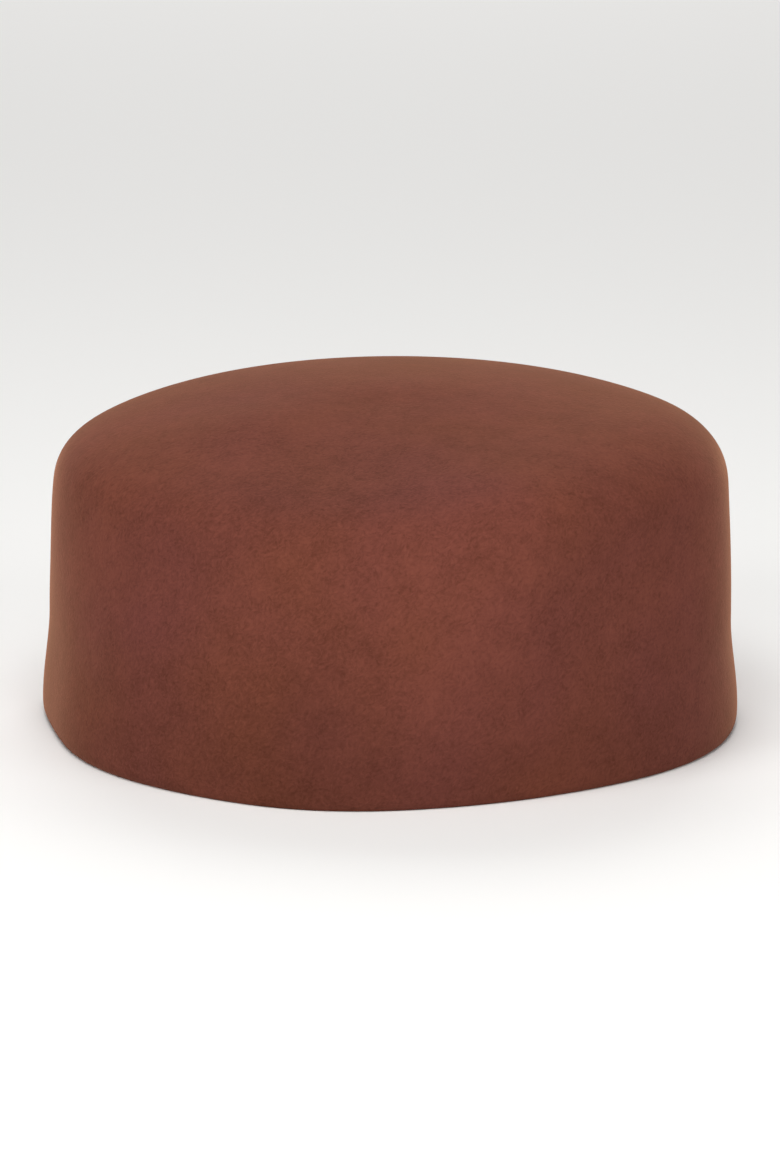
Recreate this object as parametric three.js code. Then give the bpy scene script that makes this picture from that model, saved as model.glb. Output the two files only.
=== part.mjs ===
// A felt pillbox hat, blocked in one piece, with its lower edge turned up inside.
// Millimetres. The hat stands on its edge: +Z is up, the front faces -Y, and +X is on the right of a front view.
import * as THREE from "three";
import { mergeVertices } from "three/addons/utils/BufferGeometryUtils.js";

// Driving sizes of the hat.
const hatWidth = 171.6; // outside, side to side, halfway up the wall
const hatLength = 206; // outside, front to back, halfway up the wall
const wallHeight = 60.2; // from the edge up to the start of the shoulder
const tipRise = 25.2; // from there up to the middle of the tip
const shoulderFullness = 2.7; // 2 gives an elliptic dome, more gives a flatter tip and a tighter shoulder
const feltThickness = 2; // one layer of felt
const hemDepth = 18; // how far the turned-in edge reaches up inside
const hemSwell = 2.2; // how far the turned-in edge pushes the wall out
const swellTop = 1.5; // how high the swell reaches, as a share of hemDepth
const swellFade = 1.3; // the height over which it fades, as a share of hemDepth
const edgeHeight = 3; // height of the rounding at the fold
const footWidth = 1.2; // width of the flat ring that the hat stands on

// Slices of the wall: height as a share of wallHeight, width and length as shares of hatWidth and hatLength,
// lean as a share of hatWidth, towards +X. The rows past 1 carry the taper on under the tip.
const sections = [
  { height: 0.0, width: 1.004, length: 1.004, lean: -0.005 },
  { height: 0.5, width: 1.0, length: 1.0, lean: -0.004 },
  { height: 1.0, width: 0.97, length: 0.97, lean: 0.005 },
  { height: 1.5, width: 0.936, length: 0.936, lean: 0.012 },
];

// Soft dents and swells that blocking left in the felt. A bearing is in degrees from the front towards +X, and a
// place is the share of the way from the edge (0) to the middle of the tip (1). The rise is a share of hatWidth.
const dents = [
  { bearing: -15, place: 0.52, bearingSpan: 31, placeSpan: 0.22, rise: -0.018 }, // sunk front of the shoulder
  { bearing: 0, place: 0.62, bearingSpan: 55, placeSpan: 0.28, rise: -0.018 }, // tip slopes to the front
  { bearing: 64, place: 0.28, bearingSpan: 18, placeSpan: 0.26, rise: 0.018 }, // full right side of the front
  { bearing: 81, place: 0.52, bearingSpan: 24, placeSpan: 0.08, rise: 0.012 }, // full right shoulder
  { bearing: 42, place: 0.49, bearingSpan: 26, placeSpan: 0.15, rise: 0.011 }, // the same, towards the front
  { bearing: 21, place: 0.32, bearingSpan: 12, placeSpan: 0.19, rise: 0.018 }, // upright ridge right of the front
  { bearing: 27, place: 0.0, bearingSpan: 24, placeSpan: 0.06, rise: -0.017 }, // edge pulled in below the ridge
  { bearing: -12, place: 0.06, bearingSpan: 17, placeSpan: 0.11, rise: 0.018 }, // edge pushed out at the front
  { bearing: -43, place: 0.16, bearingSpan: 11, placeSpan: 0.12, rise: 0.009 }, // soft ridge on the left
  { bearing: -77, place: 0.0, bearingSpan: 16, placeSpan: 0.25, rise: -0.016 }, // edge pulled in on the left
  { bearing: -81, place: 0.39, bearingSpan: 28, placeSpan: 0.13, rise: 0.014 }, // full left shoulder
  { bearing: -50, place: 0.66, bearingSpan: 16, placeSpan: 0.1, rise: 0.006 }, // ripple on the left of the tip
];

// How finely the felt is cut into facets.
const columns = 80; // round the hat
const outerRings = 34; // from the fold to the middle of the tip
const innerTipRings = 21; // from the middle of the tip to the top of the hem
const hemRings = 4; // down the hem
const foldSteps = 4; // round each side of the fold
const profileSteps = 240; // fine steps that measure the profile's length
const finiteStep = 1e-3; // small change of place or turn that a normal is measured over
const tipFade = 0.15; // share of the profile, at the middle of the tip, over which dents fade out

const fullTurn = 2 * Math.PI;
const radians = Math.PI / 180;

const smooth = (share) => {
  const s = Math.min(Math.max(share, 0), 1);
  return s * s * (3 - 2 * s);
};

// One column of the sections table at a height share, by a cubic through its rows.
function sectionValue(column, height) {
  const last = sections.length - 1;
  let row = 0;
  while (row < last - 1 && height > sections[row + 1].height) row += 1;
  const from = sections[row];
  const to = sections[row + 1];
  const before = sections[Math.max(row - 1, 0)];
  const after = sections[Math.min(row + 2, last)];
  const gap = to.height - from.height;
  const s = (height - from.height) / gap;
  const slopeFrom = (gap * (to[column] - before[column])) / (to.height - before.height);
  const slopeTo = (gap * (after[column] - from[column])) / (after.height - from.height);
  return (
    from[column] * (2 * s ** 3 - 3 * s ** 2 + 1) +
    slopeFrom * (s ** 3 - 2 * s ** 2 + s) +
    to[column] * (3 * s ** 2 - 2 * s ** 3) +
    slopeTo * (s ** 3 - s ** 2)
  );
}

// The turned-in edge pushes the wall out, most near the fold, and this fades out above the hem.
const hemPush = (z) => hemSwell * smooth((swellTop * hemDepth - z) / (swellFade * hemDepth));

// The blocked profile: t runs up the wall from 0 to 1, and over the tip from 1 to 2.
// On the tip it is a superellipse, so it leaves the wall upright and reaches the middle level.
function profilePoint(t) {
  if (t <= 1) return { z: edgeHeight + (wallHeight - edgeHeight) * t, reach: 1 };
  const turn = ((t - 1) * Math.PI) / 2;
  return {
    z: wallHeight + tipRise * Math.sin(turn) ** (2 / shoulderFullness),
    reach: t >= 2 ? 0 : Math.cos(turn),
  };
}

// The profile measured off: how far along it each fine step lies.
const profile = [];
for (let i = 0; i <= profileSteps; i += 1) {
  // Squaring crowds the steps where the shoulder bends most.
  const half = profileSteps / 2;
  const t = i <= half ? i / half : 1 + ((i - half) / half) ** 2;
  const point = profilePoint(t);
  const last = profile[i - 1];
  const stride = last ? Math.hypot(((last.reach - point.reach) * hatWidth) / 2, point.z - last.z) : 0;
  profile.push({ ...point, length: last ? last.length + stride : 0 });
}
const profileLength = profile[profileSteps].length;
for (const step of profile) step.place = step.length / profileLength;

// Height and reach at a place on the profile, between the two fine steps round it.
function profileAt(place) {
  let i = 1;
  while (i < profileSteps && profile[i].place < place) i += 1;
  const from = profile[i - 1];
  const to = profile[i];
  const s = (place - from.place) / (to.place - from.place);
  return {
    z: THREE.MathUtils.lerp(from.z, to.z, s),
    reach: THREE.MathUtils.lerp(from.reach, to.reach, s),
  };
}

// The smooth block, before its dents.
function blockPoint(turn, place) {
  const { z, reach } = profileAt(place);
  const height = z / wallHeight;
  const push = hemPush(z);
  const halfWidth = (hatWidth / 2) * sectionValue("width", height) + push;
  const halfLength = (hatLength / 2) * sectionValue("length", height) + push;
  return new THREE.Vector3(
    halfWidth * reach * Math.sin(turn) + hatWidth * sectionValue("lean", height),
    -halfLength * reach * Math.cos(turn),
    z,
  );
}

// The outward normal of a surface given as a function of turn and place.
function normalOf(surface, turn, place) {
  if (place > 1 - 2 * finiteStep) return new THREE.Vector3(0, 0, 1);
  const low = Math.max(place - finiteStep, 0);
  const up = surface(turn, place + finiteStep).sub(surface(turn, low));
  const round = surface(turn + finiteStep, place).sub(surface(turn - finiteStep, place));
  return round.cross(up).normalize();
}

// How far the dents lift or sink the felt. They fade out at the middle of the tip, where the bearings meet.
function dentRise(turn, place) {
  let rise = 0;
  for (const dent of dents) {
    const away = ((((turn / radians - dent.bearing + 180) % 360) + 360) % 360) - 180;
    const round = (away / dent.bearingSpan) ** 2;
    const along = ((place - dent.place) / dent.placeSpan) ** 2;
    rise += dent.rise * Math.exp(-round - along);
  }
  return hatWidth * rise * smooth((1 - place) / tipFade);
}

// The outside of the felt: the block, moved along its normal by the dents.
function feltPoint(turn, place) {
  const rise = dentRise(turn, place);
  return blockPoint(turn, place).addScaledVector(normalOf(blockPoint, turn, place), rise);
}

// A point of the felt, taken a depth in from the outside.
function innerPoint(turn, place, depth) {
  return feltPoint(turn, place).addScaledVector(normalOf(feltPoint, turn, place), -depth);
}

// The place where the profile is at a height on the wall.
const placeAtHeight = (z) => (z - edgeHeight) / profileLength;

// The fold between the wall and the hem: an upright quarter ellipse on each side of the flat foot.
// side is 0 outside and 1 inside, and angle runs from 0 at the wall to a quarter turn at the foot.
function foldPoint(turn, side, angle) {
  const wallPoint = feltPoint(turn, 0);
  const inwards = normalOf(feltPoint, turn, 0).setZ(0).normalize().negate();
  const hemThickness = 2 * feltThickness;
  const inset = ((hemThickness - footWidth) / 2) * (1 - Math.cos(angle));
  const depth = side === 0 ? inset : hemThickness - inset;
  const point = wallPoint.addScaledVector(inwards, depth);
  point.z = edgeHeight * (1 - Math.sin(angle));
  return point;
}

// The crown: a closed skin of rings, from the foot up the outside, over the tip and down the inside to the foot.
function crownGeometry() {
  const rings = [];
  const addRing = (pointAt) => {
    const ring = [];
    for (let c = 0; c < columns; c += 1) ring.push(pointAt((fullTurn * c) / columns));
    rings.push(ring);
  };
  const hemTop = placeAtHeight(hemDepth);
  for (let i = 0; i < foldSteps; i += 1) {
    const angle = (Math.PI / 2) * (1 - i / foldSteps);
    addRing((turn) => foldPoint(turn, 0, angle));
  }
  for (let i = 0; i < outerRings; i += 1) addRing((turn) => feltPoint(turn, i / outerRings));
  const outerTip = rings.length;
  for (let i = 1; i <= innerTipRings; i += 1) {
    const place = 1 - ((1 - hemTop) * i) / innerTipRings;
    addRing((turn) => innerPoint(turn, place, feltThickness));
  }
  for (let i = 0; i <= hemRings; i += 1) {
    const place = hemTop * (1 - i / hemRings);
    addRing((turn) => innerPoint(turn, place, 2 * feltThickness));
  }
  for (let i = 1; i <= foldSteps; i += 1) {
    const angle = ((Math.PI / 2) * i) / foldSteps;
    addRing((turn) => foldPoint(turn, 1, angle));
  }

  const positions = rings.flat().flatMap((point) => point.toArray());
  const index = [];
  const vertex = (ring, column) => (ring % rings.length) * columns + (column % columns);
  const addBand = (low, high) => {
    for (let c = 0; c < columns; c += 1) {
      index.push(vertex(low, c), vertex(low, c + 1), vertex(high, c + 1));
      index.push(vertex(low, c), vertex(high, c + 1), vertex(high, c));
    }
  };
  for (let ring = 0; ring < rings.length; ring += 1) {
    if (ring !== outerTip - 1) addBand(ring, ring + 1);
  }

  // The middle of the tip closes the last ring outside and the first ring inside.
  const tip = feltPoint(0, 1);
  const outerMiddle = positions.length / 3;
  positions.push(...tip.toArray(), tip.x, tip.y, tip.z - feltThickness);
  for (let c = 0; c < columns; c += 1) {
    index.push(vertex(outerTip - 1, c), vertex(outerTip - 1, c + 1), outerMiddle);
    index.push(vertex(outerTip, c + 1), vertex(outerTip, c), outerMiddle + 1);
  }

  const geometry = new THREE.BufferGeometry();
  geometry.setAttribute("position", new THREE.Float32BufferAttribute(positions, 3));
  geometry.setIndex(index);
  // The frame's origin is under the middle of the hat's box.
  geometry.computeBoundingBox();
  const middle = geometry.boundingBox.getCenter(new THREE.Vector3());
  geometry.translate(-middle.x, -middle.y, 0);
  return mergeVertices(geometry, 1e-4);
}

const felt = new THREE.MeshStandardMaterial({ color: 0x784436, roughness: 0.95, metalness: 0 });

const crown = new THREE.Mesh(crownGeometry(), felt);
crown.name = "crown";
crown.geometry.computeVertexNormals();

const hat = new THREE.Group();
hat.name = "felt_pillbox_hat";
hat.add(crown);

export default hat;
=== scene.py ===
import bpy
import numpy as np
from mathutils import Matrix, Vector


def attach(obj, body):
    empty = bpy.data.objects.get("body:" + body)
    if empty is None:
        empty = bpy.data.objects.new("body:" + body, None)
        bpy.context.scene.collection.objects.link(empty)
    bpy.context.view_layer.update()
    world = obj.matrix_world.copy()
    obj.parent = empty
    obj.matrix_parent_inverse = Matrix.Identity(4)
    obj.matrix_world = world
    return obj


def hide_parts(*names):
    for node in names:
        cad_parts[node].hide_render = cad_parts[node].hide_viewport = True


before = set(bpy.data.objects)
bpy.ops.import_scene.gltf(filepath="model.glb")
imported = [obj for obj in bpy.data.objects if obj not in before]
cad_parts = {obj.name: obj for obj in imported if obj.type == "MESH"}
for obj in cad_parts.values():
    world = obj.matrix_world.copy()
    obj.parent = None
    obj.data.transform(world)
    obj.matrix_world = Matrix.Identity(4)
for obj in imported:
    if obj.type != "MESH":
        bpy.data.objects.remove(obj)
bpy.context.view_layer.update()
print("frame loaded")


# ---- felt pillbox hat, blocked in one piece: one sheet of felt, turned up inside along its edge
# Lengths are metres. A bearing is in degrees from the front towards +X, a place is the share of the way
# from the edge (0) to the middle of the tip (1), and rise, lean, width and length are shares.
# A program fitted wallHeight, tipRise, shoulderFullness, the swell, the wall's sections and the dents to
# the photo's outline and shading. The spots of painted light and shade in the dye were listed one by one.
crownLook = {
    "hatWidth": 0.1716,
    "hatLength": 0.206,
    "wallHeight": 0.0602,  # edge to the start of the shoulder
    "tipRise": 0.0252,  # from there to the middle of the tip
    "shoulderFullness": 2.7,  # 2 is an elliptic dome, more is a flatter tip
    "feltThickness": 0.002,
    "hemDepth": 0.018,  # how far the turned-in edge reaches up inside
    "hemSwell": 0.0022,  # how far it pushes the wall out
    "swellTop": 1.5,  # height and fade of that, as shares of hemDepth
    "swellFade": 1.3,
    "hemRounding": 0.0008,  # size of the soft corner along the hem's cut edge
    "edgeHeight": 0.003,  # rounding at the fold
    "footWidth": 0.0012,
    "tipFade": 0.15,  # dents die out over this share at the middle of the tip
    "profileSteps": 1200,
    "columns": 300,
    "outerRows": 150,
    "innerRows": 96,
    "hemRows": 14,
    "foldRows": 7,
}
wallSections = np.array([  # height, width, length, lean
    (0.0, 1.004, 1.004, -0.005),
    (0.5, 1.0, 1.0, -0.004),
    (1.0, 0.97, 0.97, 0.005),
    (1.5, 0.936, 0.936, 0.012),
])
feltDents = np.array([  # bearing, place, bearing span, place span, rise
    (-15, 0.52, 31, 0.22, -0.018),
    (0, 0.62, 55, 0.28, -0.018),
    (64, 0.28, 18, 0.26, 0.018),
    (81, 0.52, 24, 0.08, 0.012),
    (42, 0.49, 26, 0.15, 0.011),
    (21, 0.32, 12, 0.19, 0.018),
    (27, 0.0, 24, 0.06, -0.017),
    (-12, 0.06, 17, 0.11, 0.018),
    (-43, 0.16, 11, 0.12, 0.009),
    (-77, 0.0, 16, 0.25, -0.016),
    (-81, 0.39, 28, 0.13, 0.014),
    (-50, 0.66, 16, 0.1, 0.006),
])
paintedLightShadeSpots = np.array([  # bearing, place, bearing span, place span, lightness: painted light where more than 0, painted shade where less
    (0, 0.35, 50, 0.10, 0.06),
    (10, 0.30, 10, 0.08, 0.04),
    (-10, 0.04, 45, 0.12, -0.16),
    (-10, 0.09, 9, 0.09, -0.08),
    (36, 0.18, 16, 0.12, 0.06),
    (-86, 0.10, 12, 0.10, -0.22),
    (84, 0.05, 9, 0.08, -0.18),
    (47, 0.43, 11, 0.08, -0.13),
    (-42, 0.36, 18, 0.16, -0.08),
    (145, 0.52, 28, 0.09, 0.20),
    (-148, 0.52, 28, 0.09, 0.14),
    (66, 0.33, 9, 0.16, 0.13),
    (-60, 0.28, 9, 0.14, 0.10),
    (8, 0.15, 7, 0.14, 0.06),
    (-12, 0.15, 8, 0.07, -0.06),
    (44, 0.10, 13, 0.10, -0.09),
    (-27, 0.50, 12, 0.04, -0.09),
    (2, 0.52, 10, 0.04, -0.08),
    (-5, 0.66, 25, 0.10, -0.06),
    (180, 0.72, 30, 0.12, -0.10),
])
hemCorner = np.array([  # reach towards the wall and rise from the hem's top, as shares of hemRounding
    (1.0, 0.0),
    (0.35, -0.24),
    (0.0, -0.8),
])


# s squared times (3 - 2 s): a ramp from 0 to 1 that starts and ends level
def smooth(share):
    s = np.clip(share, 0, 1)
    return s * s * (3 - 2 * s)


# a column of the sections at a height share: a cubic through the rows, sloped at each as its neighbours are
def sectionValue(column, height):
    at = wallSections[:, 0]
    value = wallSections[:, column]
    last = len(at) - 1
    row = np.clip(np.searchsorted(at, height, side="left") - 1, 0, last - 1)
    before = np.maximum(row - 1, 0)
    after = np.minimum(row + 2, last)
    gap = at[row + 1] - at[row]
    s = (height - at[row]) / gap
    slopeFrom = gap * (value[row + 1] - value[before]) / (at[row + 1] - at[before])
    slopeTo = gap * (value[after] - value[row]) / (at[after] - at[row])
    fromShare = 2 * s**3 - 3 * s**2 + 1
    toShare = 3 * s**2 - 2 * s**3
    return (value[row] * fromShare + slopeFrom * (s**3 - 2 * s**2 + s)
            + value[row + 1] * toShare + slopeTo * (s**3 - s**2))


# the block's profile: straight up the wall, then a superellipse over the tip, with each point's share of
# the whole length; the points lie closer together where the shoulder starts
def blockProfile(look):
    steps = np.linspace(0, 2, look["profileSteps"] + 1)
    t = np.where(steps <= 1, steps, 1 + (np.maximum(steps, 1) - 1) ** 2)
    turn = (np.maximum(t, 1) - 1) * np.pi / 2
    wall = look["edgeHeight"] + (look["wallHeight"] - look["edgeHeight"]) * t
    tip = look["wallHeight"] + look["tipRise"] * np.sin(turn) ** (2 / look["shoulderFullness"])
    z = np.where(t <= 1, wall, tip)
    reach = np.where(t <= 1, 1, np.cos(turn))
    reach[-1] = 0
    run = np.hypot(np.diff(reach) * look["hatWidth"] / 2, np.diff(z))
    length = np.concatenate([[0], np.cumsum(run)])
    return z, reach, length / length[-1], length[-1]


# the block: an oval at each height, as wide and long as its section says, swelling out over the hem
def blockSurface(look, profile, bearing, place):
    z = np.interp(place, profile[2], profile[0])
    reach = np.interp(place, profile[2], profile[1])
    height = z / look["wallHeight"]
    hem = look["hemDepth"]
    push = look["hemSwell"] * smooth((look["swellTop"] * hem - z) / (look["swellFade"] * hem))
    halfWidth = look["hatWidth"] / 2 * sectionValue(1, height) + push
    halfLength = look["hatLength"] / 2 * sectionValue(2, height) + push
    x = halfWidth * reach * np.sin(bearing) + look["hatWidth"] * sectionValue(3, height)
    y = -halfLength * reach * np.cos(bearing)
    return np.stack([x, y, z], axis=-1)


# outward normals of a grid: the slope round crossed with the slope up
def gridNormals(points):
    up = np.gradient(points, axis=0)
    along = np.roll(points, -1, axis=1) - np.roll(points, 1, axis=1)
    normals = np.cross(along, up)
    size = np.linalg.norm(normals, axis=-1, keepdims=True)
    return normals / np.maximum(size, 1e-12)


# the sum of the rows of a table, each a bell in bearing and place; they die out at the middle of the tip
def bellSum(rows, look, bearing, place):
    total = np.zeros_like(place)
    for centre, at, span, placeSpan, height in rows:
        away = (np.degrees(bearing) - centre + 180) % 360 - 180
        total += height * np.exp(-(away / span) ** 2 - ((place - at) / placeSpan) ** 2)
    return total * smooth((1 - place) / look["tipFade"])


# the outside of the felt: the block moved along its normals by the dents
def feltSurface(look, profile, places):
    turns = np.linspace(0, 2 * np.pi, look["columns"], endpoint=False)
    place, bearing = np.meshgrid(places, turns, indexing="ij")
    points = blockSurface(look, profile, bearing, place)
    rise = look["hatWidth"] * bellSum(feltDents, look, bearing, place)
    points = points + gridNormals(points) * rise[..., None]
    return points, gridNormals(points)


# where the rings lie on the profile: up the outside, down the inside to the hem's top, and down the hem
def ringPlaces(look, profile):
    hemTop = (look["hemDepth"] - look["edgeHeight"]) / profile[3]
    outer = np.linspace(0, 1, look["outerRows"] + 1)[:-1]
    inner = np.linspace(1, hemTop, look["innerRows"] + 1)[1:]
    hem = np.linspace(hemTop, 0, look["hemRows"])
    return outer, inner, hem


# painted light and shade at each vertex, as a factor on the dye: e to the sum of the spots, ring by ring as
# in crownRings
def crownPaintedLightShade(look):
    outer, inner, hem = ringPlaces(look, blockProfile(look))
    fold = np.zeros(look["foldRows"])
    corner = np.full(len(hemCorner) - 1, hem[0])
    places = np.concatenate([fold, outer, inner, corner, hem, fold])
    turns = np.linspace(0, 2 * np.pi, look["columns"], endpoint=False)
    place, bearing = np.meshgrid(places, turns, indexing="ij")
    paintedLightShadeSums = bellSum(paintedLightShadeSpots, look, bearing, place)
    return np.exp(np.concatenate([paintedLightShadeSums.ravel(), [0, 0]]))


# the whole skin, ring by ring: fold, outside, middle of the tip, inside, cut edge of the hem, hem, fold
def crownRings(look):
    profile = blockProfile(look)
    thick = look["feltThickness"]
    outerPlaces, innerPlaces, hemPlaces = ringPlaces(look, profile)
    outer, outerNormals = feltSurface(look, profile, outerPlaces)
    innerFelt, innerNormals = feltSurface(look, profile, innerPlaces[::-1])
    inner = (innerFelt - innerNormals * thick)[::-1]
    hemFelt, hemNormals = feltSurface(look, profile, hemPlaces[::-1])
    hemFelt = hemFelt[::-1]
    hemNormals = hemNormals[::-1]
    hem = hemFelt - hemNormals * 2 * thick
    soft = look["hemRounding"] * hemCorner
    corner = hemFelt[:1] - hemNormals[:1] * (2 * thick - soft[:, 0, None, None])
    corner[:, :, 2] += soft[:, 1, None]
    hem = np.concatenate([corner, hem[1:]])
    inwards = -outerNormals[0] * np.array([1, 1, 0])
    inwards = inwards / np.linalg.norm(inwards, axis=-1, keepdims=True)
    angles = np.linspace(np.pi / 2, 0, look["foldRows"], endpoint=False)[:, None, None]
    inset = (2 * thick - look["footWidth"]) / 2 * (1 - np.cos(angles))
    level = np.array([1, 1, 0])
    drop = np.array([0, 0, 1]) * look["edgeHeight"] * (1 - np.sin(angles))
    outerFold = outer[:1] * level + inwards * inset + drop
    innerFold = outer[:1] * level + inwards * (2 * thick - inset) + drop
    rings = np.concatenate([outerFold, outer, inner, hem, innerFold[::-1]])
    outerTip = look["foldRows"] + look["outerRows"]
    tip = blockSurface(look, profile, np.zeros(1), np.ones(1))[0]
    middle = np.array([tip, tip - [0, 0, thick]])
    return rings, outerTip, middle


# quads between neighbouring rings, the last ring back to the first, and two fans at the middle of the tip
def crownMesh(look, name):
    rings, outerTip, middle = crownRings(look)
    count, columns = rings.shape[:2]
    low = np.delete(np.arange(count), outerTip - 1)
    ring, column = np.meshgrid(low, np.arange(columns), indexing="ij")
    nextRing = (ring + 1) % count
    nextColumn = (column + 1) % columns
    quads = np.stack([ring * columns + column, ring * columns + nextColumn,
                      nextRing * columns + nextColumn, nextRing * columns + column], axis=-1)
    here = np.arange(columns)
    there = (here + 1) % columns
    outerFan = np.stack([(outerTip - 1) * columns + here, (outerTip - 1) * columns + there,
                         np.full(columns, count * columns)], axis=-1)
    innerFan = np.stack([outerTip * columns + there, outerTip * columns + here,
                         np.full(columns, count * columns + 1)], axis=-1)
    points = np.concatenate([rings.reshape(-1, 3), middle])
    points[:, :2] -= (points[:, :2].min(axis=0) + points[:, :2].max(axis=0)) / 2
    mesh = bpy.data.meshes.new(name)
    faces = quads.reshape(-1, 4).tolist() + outerFan.tolist() + innerFan.tolist()
    mesh.from_pydata(points.tolist(), [], faces)
    mesh.polygons.foreach_set("use_smooth", np.ones(len(faces), bool))
    # the painted light and shade goes to the felt's material as a vertex attribute
    mesh.attributes.new("tone", "FLOAT", "POINT").data.foreach_set("value", crownPaintedLightShade(look))
    mesh.update()
    return mesh


crown = bpy.data.objects.new("feltCrown", crownMesh(crownLook, "feltCrown"))
bpy.context.scene.collection.objects.link(crown)
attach(crown, "root")
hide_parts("crown")
print("crown shaped:", len(crown.data.polygons), "faces")


# a hex colour as linear red, green, blue and alpha
def linear(hexColour):
    channels = [int(hexColour[i:i + 2], 16) / 255 for i in (1, 3, 5)]
    return [c / 12.92 if c <= 0.04045 else ((c + 0.055) / 1.055) ** 2.4 for c in channels] + [1]


# adds a node, gives it its settings and input values, and links inputs that are given as (node, output);
# in0, in1 and so on are inputs by their order
def addNode(tree, kind, settings=None, **inputs):
    node = tree.nodes.new(kind)
    for key, value in (settings or {}).items():
        setattr(node, key, value)
    for key, value in inputs.items():
        socket = node.inputs[key if key in node.inputs else int(key[2:])]
        if isinstance(value, tuple) and isinstance(value[0], bpy.types.Node):
            tree.links.new(value[0].outputs[value[1]], socket)
        else:
            socket.default_value = value
    return node


# ---- blocked wool felt: fulled wool fibres pressed into a dense matt sheet, dyed red-brown and shaped on a
# block. The eye sees no gloss, short fibres lying every way that catch the light a little, cloudy patches
# where the wool took more or less dye, and a pale bloom where the nap is seen edge on.
feltLook = {
    "dye": "#6b3b30",
    "darkDye": "#5e3328",
    "paleDye": "#774236",
    "nap": "#f9b890",  # tips of the fibres seen edge on
    "napWeight": 0.42,
    "napRoughness": 0.3,
    "fibreWidth": 0.00035,  # drawn wider than wool fibre, so that it shows
    "fibreLength": 0.0007,
    "fibreTangle": 0.003,  # how far and over what distance the fibres bend out of line
    "tangleSize": 0.004,
    "fibreSum": (1.7, 3.3),  # the strands' sum runs between these
    "fibreContrast": 0.6,
    "cloudSize": 0.035,
    "cloudContrast": 0.45,
    "patchSize": 0.006,
    "patchContrast": 0.5,
    "dyeBalance": -0.06,  # added to the sum of the three: less is darker
    "darkAt": 0.4,  # where the three dyes lie along that sum
    "dyeAt": 0.68,
    "paleAt": 1.0,
    "blushSize": 0.05,  # places where the red-brown leans to violet or to orange
    "blush": (-0.05, -0.10, 0.5),  # change of red, green and blue from one end of that to the other
    "bumpDepth": 0.00006,
}
strandTurns = [  # radians about X, Y and Z: the ways that the fibres lie
    (0.3, 0.2, 0.1),
    (1.2, -0.5, 0.9),
    (-0.8, 1.1, -0.6),
    (0.6, 0.9, 2.0),
    (2.1, 0.4, -1.3),
]


def feltMaterial(look):
    material = bpy.data.materials.new("blocked wool felt")
    material.use_nodes = True
    tree = material.node_tree
    tree.nodes.clear()
    where = addNode(tree, "ShaderNodeTexCoord")
    tangle = addNode(tree, "ShaderNodeTexNoise", None, Vector=(where, "Object"), Scale=1 / look["tangleSize"])
    bent = addNode(tree, "ShaderNodeVectorMath", {"operation": "MULTIPLY_ADD"}, in0=(tangle, "Color"),
                   in1=[look["fibreTangle"]] * 3, in2=(where, "Object"))
    pile = 0.0
    for turn in strandTurns:
        turned = addNode(tree, "ShaderNodeMapping", {"vector_type": "TEXTURE"}, Vector=(bent, "Vector"),
                         Rotation=turn, Scale=[look["fibreWidth"], look["fibreWidth"], look["fibreLength"]])
        strand = addNode(tree, "ShaderNodeTexNoise", None, Vector=(turned, "Vector"), Scale=0.5,
                         Detail=1.0, Roughness=0.5, Distortion=0.6)
        total = addNode(tree, "ShaderNodeMath", {"operation": "ADD"}, in0=pile, in1=(strand, "Fac"))
        pile = (total, "Value")
    low, high = look["fibreSum"]
    fibres = addNode(tree, "ShaderNodeMapRange", None, Value=pile, **{"From Min": low, "From Max": high})
    clouds = addNode(tree, "ShaderNodeTexNoise", None, Vector=(where, "Object"),
                     Scale=1 / look["cloudSize"], Detail=2.0, Roughness=0.5)
    patches = addNode(tree, "ShaderNodeTexNoise", None, Vector=(where, "Object"),
                      Scale=1 / look["patchSize"], Detail=2.0, Roughness=0.6)
    depth = look["dyeBalance"]
    layers = [
        ((clouds, "Fac"), look["cloudContrast"]),
        ((patches, "Fac"), look["patchContrast"]),
        ((fibres, "Result"), look["fibreContrast"]),
    ]
    for layer, contrast in layers:
        added = addNode(tree, "ShaderNodeMath", {"operation": "MULTIPLY_ADD"},
                        in0=layer, in1=contrast, in2=depth)
        depth = (added, "Value")
    ramp = addNode(tree, "ShaderNodeValToRGB", None, Fac=depth)
    dark, pale = ramp.color_ramp.elements
    dark.position = look["darkAt"]
    dark.color = linear(look["darkDye"])
    pale.position = look["paleAt"]
    pale.color = linear(look["paleDye"])
    middle = ramp.color_ramp.elements.new(look["dyeAt"])
    middle.color = linear(look["dye"])
    # painted light and shade: the dye is scaled by the per-vertex spots of paler and darker felt that stand
    # in for light and shade
    tone = addNode(tree, "ShaderNodeAttribute", {"attribute_name": "tone"})
    paintedLightShadeDye = addNode(tree, "ShaderNodeVectorMath", {"operation": "SCALE"},
                    in0=(ramp, "Color"), Scale=(tone, "Fac"))
    drift = addNode(tree, "ShaderNodeTexNoise", None, Vector=(where, "Object"),
                    Scale=1 / look["blushSize"], Detail=2.0, Roughness=0.5)
    lean = addNode(tree, "ShaderNodeVectorMath", {"operation": "MULTIPLY_ADD"}, in0=(drift, "Fac"),
                   in1=list(look["blush"]), in2=[1 - share / 2 for share in look["blush"]])
    dyed = addNode(tree, "ShaderNodeVectorMath", {"operation": "MULTIPLY"}, in0=(paintedLightShadeDye, "Vector"),
                   in1=(lean, "Vector"))
    bump = addNode(tree, "ShaderNodeBump", None, Height=(fibres, "Result"), Strength=1.0,
                   Distance=look["bumpDepth"])
    shader = addNode(tree, "ShaderNodeBsdfPrincipled", None, **{
        "Base Color": (dyed, "Vector"), "Normal": (bump, "Normal"),
        "Roughness": 0.95, "IOR": 1.5, "Specular IOR Level": 0.05,
        "Sheen Weight": look["napWeight"], "Sheen Roughness": look["napRoughness"],
        "Sheen Tint": linear(look["nap"]),
    })
    addNode(tree, "ShaderNodeOutputMaterial", None, Surface=(shader, "BSDF"))
    return material


crown.data.materials.append(feltMaterial(feltLook))
print("felt dyed")


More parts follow.
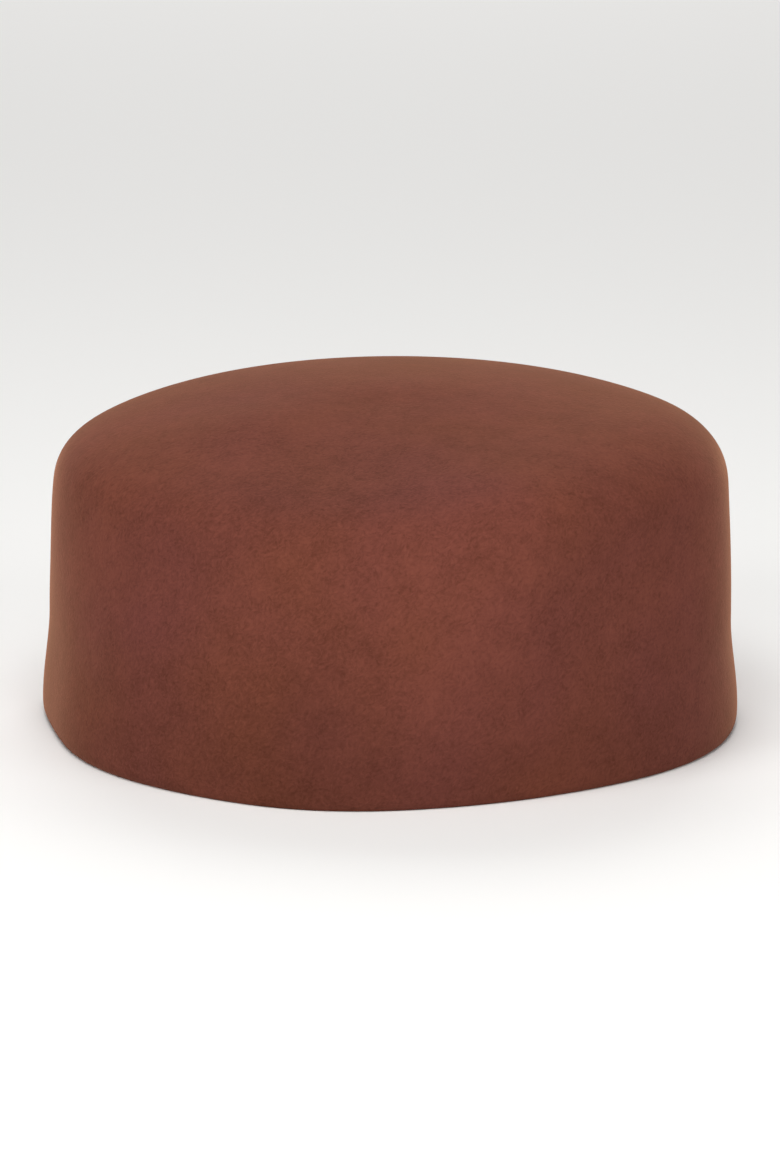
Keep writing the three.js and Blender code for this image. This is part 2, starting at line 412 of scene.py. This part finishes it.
# ---- studio: a pale floor, soft lights and a white surround
studioLook = {
    "floorSize": 12.0,
    "floorColour": "#f9f8f6",
    "floorGrain": 0.00111,  # size and depth of the paint's grain
    "floorBump": 0.0002,
    "surround": "#ffffff",
    "surroundStrength": 0.15,
}
studioLights = [  # name, watts, size, place
    ("frontLeftSoftbox", 10.0, 0.9, (-1.3, -1.2, 0.8)),
    ("frontRightSoftbox", 7.0, 0.9, (1.3, -1.2, 0.8)),
    ("frontSoftbox", 7.0, 1.0, (0.0, -1.3, 1.4)),
    ("topSoftbox", 10.0, 0.9, (-0.1, -0.55, 1.4)),
    ("backSoftbox", 50.0, 2.0, (0.0, 2.7, 2.3)),
]


def floorMaterial(look):
    material = bpy.data.materials.new("matt painted floor")
    material.use_nodes = True
    tree = material.node_tree
    tree.nodes.clear()
    where = addNode(tree, "ShaderNodeTexCoord")
    grain = addNode(tree, "ShaderNodeTexNoise", None, Vector=(where, "Object"),
                    Scale=1 / look["floorGrain"], Detail=2.0)
    bump = addNode(tree, "ShaderNodeBump", None, Height=(grain, "Fac"), Strength=0.1,
                   Distance=look["floorBump"])
    shader = addNode(tree, "ShaderNodeBsdfPrincipled", None, **{
        "Base Color": linear(look["floorColour"]), "Roughness": 0.9, "Specular IOR Level": 0.1,
        "Normal": (bump, "Normal")})
    addNode(tree, "ShaderNodeOutputMaterial", None, Surface=(shader, "BSDF"))
    return material


def makeFloor(look):
    half = look["floorSize"] / 2
    mesh = bpy.data.meshes.new("floor")
    corners = [(-half, -half, 0), (half, -half, 0), (half, half, 0), (-half, half, 0)]
    mesh.from_pydata(corners, [], [(0, 1, 2, 3)])
    floor = bpy.data.objects.new("floor", mesh)
    bpy.context.scene.collection.objects.link(floor)
    floor.data.materials.append(floorMaterial(look))


def makeLight(name, watts, size, place, target=(0, 0, 0.04)):
    lamp = bpy.data.lights.new(name, "AREA")
    lamp.energy = watts
    lamp.shape = "SQUARE"
    lamp.size = size
    light = bpy.data.objects.new(name, lamp)
    light.location = place
    light.rotation_euler = (Vector(target) - Vector(place)).to_track_quat("-Z", "Y").to_euler()
    bpy.context.scene.collection.objects.link(light)


def makeSurround(look):
    world = bpy.data.worlds.new("surround")
    world.use_nodes = True
    background = world.node_tree.nodes["Background"]
    background.inputs["Color"].default_value = linear(look["surround"])
    background.inputs["Strength"].default_value = look["surroundStrength"]
    bpy.context.scene.world = world


makeFloor(studioLook)
for lightRow in studioLights:
    makeLight(*lightRow)
makeSurround(studioLook)
print("studio lit")


# ---- camera: nearly 12 degrees above the floor, straight at the front; a program fitted it to the photo
cameraLook = {
    "distance": 1.4,
    "elevation": 11.6,
    "lens": 171.0,
    "sensor": 36.0,
    "target": (0.0003, 0.0, 0.0328),
}


def makeCamera(look):
    camera = bpy.data.cameras.new("camera")
    camera.sensor_fit = "AUTO"
    camera.sensor_width = look["sensor"]
    camera.lens = look["lens"]
    camera.clip_start = 0.05
    camera.clip_end = 50
    shot = bpy.data.objects.new("camera", camera)
    rise = np.radians(look["elevation"])
    target = Vector(look["target"])
    shot.location = target + look["distance"] * Vector((0, -np.cos(rise), np.sin(rise)))
    shot.rotation_euler = (target - shot.location).to_track_quat("-Z", "Y").to_euler()
    bpy.context.scene.collection.objects.link(shot)
    bpy.context.scene.camera = shot


makeCamera(cameraLook)
bpy.context.scene.view_settings.view_transform = "Standard"
print("camera placed")
